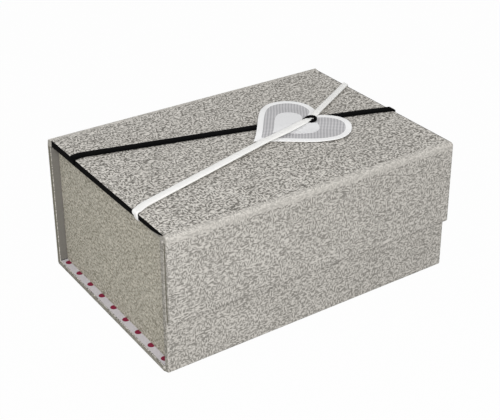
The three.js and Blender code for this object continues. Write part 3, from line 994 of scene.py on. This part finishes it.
def elastic_material(name, dark, pale, roughness, specular):
    material = new_material(name)
    tree = material.node_tree
    lay = [point_value(tree, n) for n in ("across", "along")]
    ribs = math_node(tree, "SINE", math_node(tree, "MULTIPLY", lay[0], 2 * math.pi / RIB_PITCH))
    picks = math_node(tree, "SINE", math_node(tree, "MULTIPLY", lay[1], 2 * math.pi / PICK_PITCH))
    height = math_node(tree, "ADD", math_node(tree, "MULTIPLY", ribs, 0.35),
                       math_node(tree, "MULTIPLY", picks, 0.15))
    rib_height_and_shade = math_node(tree, "ADD", height, 0.5)
    # Painted light and shade: the colour follows the relief, paler on the tops of ribs and picks
    # and darker in the grooves between them.
    colour = blend_colour(tree, rib_height_and_shade, linear(*dark), linear(*pale))
    return finish_surface(material, colour, roughness, rib_height_and_shade, 0.06, specular)


black_elastic = elastic_material("black_elastic", (2, 2, 2), (12, 12, 13), 0.9, 0.03)
white_elastic = elastic_material("white_elastic", (236, 235, 232), (252, 252, 250), 0.8, 0.2)

# %% The black band and its loop
TAG_BOTTOM, TAG_TOP, LABEL_TOP = 71.25, 71.75, 72.0
LOOP_START, LOOP_END = Vector((33.3, 0.52, 72.0)), Vector((34.93, -3.12, 72.0))
CORD_REACH = (1.2, 7.0)
CORD_BEGINS, CORD_ENDS = 30, (36.5, 41.0)
BLACK_WIDTH = 4.6
BLACK_LEFT = [(-JOIN_X, 28.9), (-75.4, 29.2), (-71.5, 28.5), (-3.5, 11.7), (27.0, 4.1)]
BLACK_RIGHT = [(41.0, -0.7), (50.0, -2.85), (62.9, -6.6), (JOIN_X, -11.6)]
BLACK_LOOP = [
    (31.3, 2.6, 70.62), (32.7, 1.5, 71.1), LOOP_START, (33.74, -0.27, 72.9), (34.91, -0.68, 73.3),
    (36.22, -1.4, 73.4), (37.06, -2.44, 73.2), (37.01, -3.35, 72.8), (36.01, -3.9, 72.4),
    LOOP_END, (35.15, -2.35, 71.25), (36.9, -1.35, 70.66),
]


def at_rest(places):
    return [(x, y, REST_HEIGHT) for x, y in places]


def black_size(place):
    """A cord in the loop, which opens to the flat band away from it."""
    near = min((place - LOOP_START).length, (place - LOOP_END).length)
    inside = place.z > REST_HEIGHT + 0.8
    opened = 0.0 if inside else smooth(near, *CORD_REACH)
    return (CORD_WIDTH + (BLACK_WIDTH - CORD_WIDTH) * opened,
            CORD_THICKNESS + (BAND_THICKNESS - CORD_THICKNESS) * opened)


black_path = curve_through(
    at_rest(BLACK_LEFT) + BLACK_LOOP + at_rest(BLACK_RIGHT), EDGE_SPACING)
black_run = []
side = level_side(black_path, 0)
for k, place in enumerate(black_path):
    ahead = black_path[min(k + 1, len(black_path) - 1)]
    along = (ahead - black_path[max(k - 1, 0)]).normalized()
    side = (side - along * side.dot(along)).normalized()
    level = level_side(black_path, k)
    if level.dot(side) < 0:
        level = -level
    flat_again = smooth(place.x, *CORD_ENDS) if place.z < REST_HEIGHT + 0.3 else 0.0
    flat_again = max(flat_again, 1.0 if place.x < CORD_BEGINS else 0.0)
    side = side.lerp(level, flat_again).normalized()
    black_run.append((place, side.copy(), *black_size(place)))
left_end = edge_stations(
    -1, BLACK_LEFT[0][1], end_slope(BLACK_LEFT[0], BLACK_LEFT[1]), BLACK_WIDTH)
black_stations = left_end[:-1] + black_run
right_end = edge_stations(
    1, BLACK_RIGHT[-1][1], end_slope(BLACK_RIGHT[-1], BLACK_RIGHT[-2]), BLACK_WIDTH)
if right_end[-1][1].dot(side) < 0:
    right_end = [(place, -across, width, thick) for place, across, width, thick in right_end]
black_stations += right_end[-2::-1]
black_band = woven_band("black_band", black_stations, black_elastic)
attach(black_band, "lid")
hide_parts("black_elastic")

# %% The white band over the tag
WHITE_KNOTS = [
    (-JOIN_X, -31.4, REST_HEIGHT), (-72.5, -28.7, 70.7), (1.15, -9.4, 72.07),
    (17.0, -6.2, 72.35), (28.0, -3.3, 72.58), (32.6, -2.0, 72.5), (35.4, -1.1, 72.36),
    (38.0, 0.1, 72.48), (40.8, 1.8, 72.58), (45.0, 4.5, 72.5), (JOIN_X, 26.0, REST_HEIGHT),
]
WHITE_CROSSING = Vector(WHITE_KNOTS[6])
WHITE_RIGHT_WIDTH = 3.4
PINCHED_WIDTH, PINCHED_THICKNESS = 3.0, 0.95
PINCH_REACH = (1.0, 7.0)


def white_size(place):
    """Pinched by the loop, and stretched narrower on its right."""
    opened = smooth((place - WHITE_CROSSING).length, *PINCH_REACH)
    wide = BAND_WIDTH if place.x < WHITE_CROSSING.x else WHITE_RIGHT_WIDTH
    return (PINCHED_WIDTH + (wide - PINCHED_WIDTH) * opened,
            PINCHED_THICKNESS + (BAND_THICKNESS - PINCHED_THICKNESS) * opened)


left_end = edge_stations(-1, WHITE_KNOTS[0][1], end_slope(WHITE_KNOTS[0], WHITE_KNOTS[1]))
right_end = edge_stations(
    1, WHITE_KNOTS[-1][1], end_slope(WHITE_KNOTS[-1], WHITE_KNOTS[-2]), WHITE_RIGHT_WIDTH)
white_stations = left_end[:-1] + run_stations(WHITE_KNOTS, white_size) + right_end[-2::-1]
white_band = woven_band("white_band", white_stations, white_elastic)
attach(white_band, "lid")
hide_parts("white_elastic")
loop_top = max(p.z for p in black_path) + CORD_THICKNESS / 2
print("bands made, loop top at", round(loop_top, 2), "mm")

# %% [markdown]
# ## The heart tag
#
# The tag is thin printed card: a plain white border, a fine grey check, and a plain inner
# heart on its own small sheet. The outline is drawn as two lobe arcs and two curves to the
# tip, and the sheet is filled with rings round its hole. Each point keeps its distance
# from the outline, so the printed border follows the edge exactly, with no picture file.
# The card isn't flat: it rests on the black band, droops on both sides of it, and curls up
# at its lower right lobe.

# %% The heart's outline
LOBE_RADIUS = 14.06
LOBE_SPREAD = 12.67
LOBE_REACH = 34.54
TAG_ANGLE = 8.44
CROSSING = Vector((37, 1))
PIVOT = Vector((37.7, -0.53))
SHOULDER = 100
FLANK_PULLS = ((0.33, 0.26), (0.65, 0.85))
FLANK_STEPS, LOBE_STEPS = 40, 60
LABEL_SCALE, LABEL_START = 0.48, 12.5


def bezier(points, share):
    while len(points) > 1:
        points = [a.lerp(b, share) for a, b in zip(points, points[1:])]
    return points[0]


def heart_outline(scale=1.0, start=0.0):
    """Points from the tip round the lower lobe, by the notch, and back along the upper one."""
    notch = math.degrees(math.asin(LOBE_SPREAD / LOBE_RADIUS))
    lobe = [Vector(p) for p in arc(
        (LOBE_REACH, LOBE_SPREAD), LOBE_RADIUS, SHOULDER, -notch, LOBE_STEPS)]
    far = lobe[0]
    pulls = [Vector((0, 0)), *(Vector((x * far.x, y * far.y)) for x, y in FLANK_PULLS), far]
    flank = [bezier(pulls, k / FLANK_STEPS) for k in range(FLANK_STEPS)]
    upper = flank + lobe
    lower = [Vector((p.x, -p.y)) for p in upper]
    ring = lower + upper[:-1][::-1]
    return [Vector((start + p.x * scale, p.y * scale)) for p in ring[:-1]]


tag_outline = heart_outline()
label_outline = heart_outline(LABEL_SCALE, LABEL_START)
print("tag", round(max(p.x for p in tag_outline), 1), "mm long and",
      round(2 * max(p.y for p in tag_outline), 1), "mm wide")

# %% Sheets filled with rings
HOLE_LONG, HOLE_ACROSS = 3.0, 1.9
HOLE_TURN = math.radians(-66 - TAG_ANGLE)
HOLE = Vector((34.8, -2.4))
DROOP_MIDDLE = Vector((37, 0))
BLACK_HEADING = math.radians(-26 - TAG_ANGLE)
DROOP_BACK, DROOP_FRONT, DROOP_REACH = 0.82, 1.0, (2, 13)
CURL, CURL_REACH = 0.84, (7, 24)
CURL_TOWARDS = (0.55, -0.835)
RIM_SHARES = [0.985, 0.995, 1.0]


def distance_to(outline, place):
    reach = 1e9
    for a, b in zip(outline, outline[1:] + outline[:1]):
        along = b - a
        if along.length_squared == 0:
            continue
        share = min(max((place - a).dot(along) / along.length_squared, 0), 1)
        reach = min(reach, (place - a - along * share).length)
    return reach


def hole_edge(towards, grow=0.0):
    """The elongated hole's edge in a direction from its middle."""
    angle = math.atan2(towards.y, towards.x) - HOLE_TURN
    long, across = HOLE_LONG + grow, HOLE_ACROSS + grow
    reach = 1 / math.hypot(math.cos(angle) / long, math.sin(angle) / across)
    return HOLE + towards.normalized() * reach


def lift_at(place):
    """The card lies over the black band and droops on both sides. Its lower right lobe curls up."""
    away = place - DROOP_MIDDLE
    along = away.x * math.cos(BLACK_HEADING) + away.y * math.sin(BLACK_HEADING)
    above = away.y * math.cos(BLACK_HEADING) - away.x * math.sin(BLACK_HEADING)
    deepest = DROOP_BACK if above > 0 else DROOP_FRONT
    droop = deepest * smooth(abs(above) - 0.35 * abs(along), *DROOP_REACH)
    towards_curl = away.x * CURL_TOWARDS[0] + away.y * CURL_TOWARDS[1]
    return CURL * smooth(towards_curl, *CURL_REACH) - droop


def tag_place(place, height):
    turn = math.radians(TAG_ANGLE)
    x, y = place - PIVOT
    return (CROSSING.x + x * math.cos(turn) - y * math.sin(turn),
            CROSSING.y + x * math.sin(turn) + y * math.cos(turn), height)


def card_sheet(name, outline, inner_edge, bottom, top, rounding, material, rings=26):
    """Two faces and their edges, from an inner edge out to the outline."""
    shares = [k / rings for k in range(rings)] + RIM_SHARES
    count = len(outline)
    points, faces, edge = [], [], []
    for face in (top, bottom):
        for share in shares:
            for target in outline:
                start = inner_edge(target)
                place = start.lerp(target, share)
                rim = min((target - place).length, (place - start).length)
                soft = max(0.0, 1 - rim / rounding)
                drop = rounding * (1 - math.sqrt(max(0.0, 1 - soft * soft)))
                height = lift_at(place) + face + (-drop if face == top else drop)
                points.append(tag_place(place, height))
                edge.append(distance_to(outline, place))
    layer = len(shares) * count
    for ring in range(len(shares) - 1):
        for k in range(count):
            a, b = ring * count + k, ring * count + (k + 1) % count
            faces.append((a, b, b + count, a + count))
            faces.append((layer + b, layer + a, layer + a + count, layer + b + count))
    for ring in (0, len(shares) - 1):
        for k in range(count):
            a, b = ring * count + k, ring * count + (k + 1) % count
            faces.append((a, b, layer + b, layer + a))
    obj = make_piece(name, points, faces, material, {"edge": edge})
    tidy_normals(obj, sharp=60)
    return obj


# %% Printed card
BORDER = 3.0
CHECK_PITCH = 1.5
CHECK_TURN = math.radians(TAG_ANGLE + 45)


def tag_card_material():
    material = new_material("tag_card")
    tree = material.node_tree
    across, up = face_plane(tree)
    stripes = []
    for turn in (CHECK_TURN, CHECK_TURN + math.pi / 2):
        value = math_node(tree, "ADD", math_node(tree, "MULTIPLY", across, math.cos(turn)),
                          math_node(tree, "MULTIPLY", up, math.sin(turn)))
        stripes.append(ranged(tree, math_node(tree, "SINE", math_node(
            tree, "MULTIPLY", value, 2 * math.pi / CHECK_PITCH)), -0.5, 0.5))
    depth = math_node(tree, "MULTIPLY", math_node(tree, "ADD", *stripes), 0.5)
    check = blend_colour(tree, depth, linear(208, 207, 208), linear(158, 157, 160))
    printed = ranged(tree, point_value(tree, "edge"), BORDER - 0.12, BORDER + 0.12)
    fibre = stretched_noise(tree, across, up, 0.6, 0.6, 3.0, 8.1)
    border = blend_colour(tree, fibre, linear(238, 238, 238), linear(249, 249, 249))
    return finish_surface(material, blend_colour(tree, printed, border, check), 0.55, fibre, 0.01)


# %% The tag
tag_sheet = card_sheet(
    "tag_sheet", tag_outline, lambda target: hole_edge(target - HOLE),
    TAG_BOTTOM + 0.02, TAG_TOP, 0.16, tag_card_material())
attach(tag_sheet, "tag")
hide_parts("tag_card")

# %% Its inner heart, which leaves the hole clear
LABEL_MIDDLE = Vector((26, 0))
HOLE_SURROUND = 0.5
RAY_STEPS = 60


def clear_of_hole(target):
    """Where a ray from the label's middle meets either its outline or the hole's surround."""
    ray = target - LABEL_MIDDLE
    for k in range(1, RAY_STEPS + 1):
        place = LABEL_MIDDLE + ray * (k / RAY_STEPS)
        towards = place - HOLE
        if towards.length < (hole_edge(towards, HOLE_SURROUND) - HOLE).length:
            return LABEL_MIDDLE + ray * ((k - 1) / RAY_STEPS)
    return target


label_edge = [clear_of_hole(p) for p in label_outline]
label_paper = fibrous(
    "tag_label", (222, 222, 223), (234, 234, 235), (0.7, 0.7), 6.4, 0.6, 0.02)
label_sheet = card_sheet(
    "label_sheet", label_edge, lambda target: LABEL_MIDDLE.lerp(target, 0.02),
    TAG_TOP + 0.01, LABEL_TOP - 0.08, 0.08, label_paper, rings=14)
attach(label_sheet, "tag")
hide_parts("tag_label")
print("tag made")
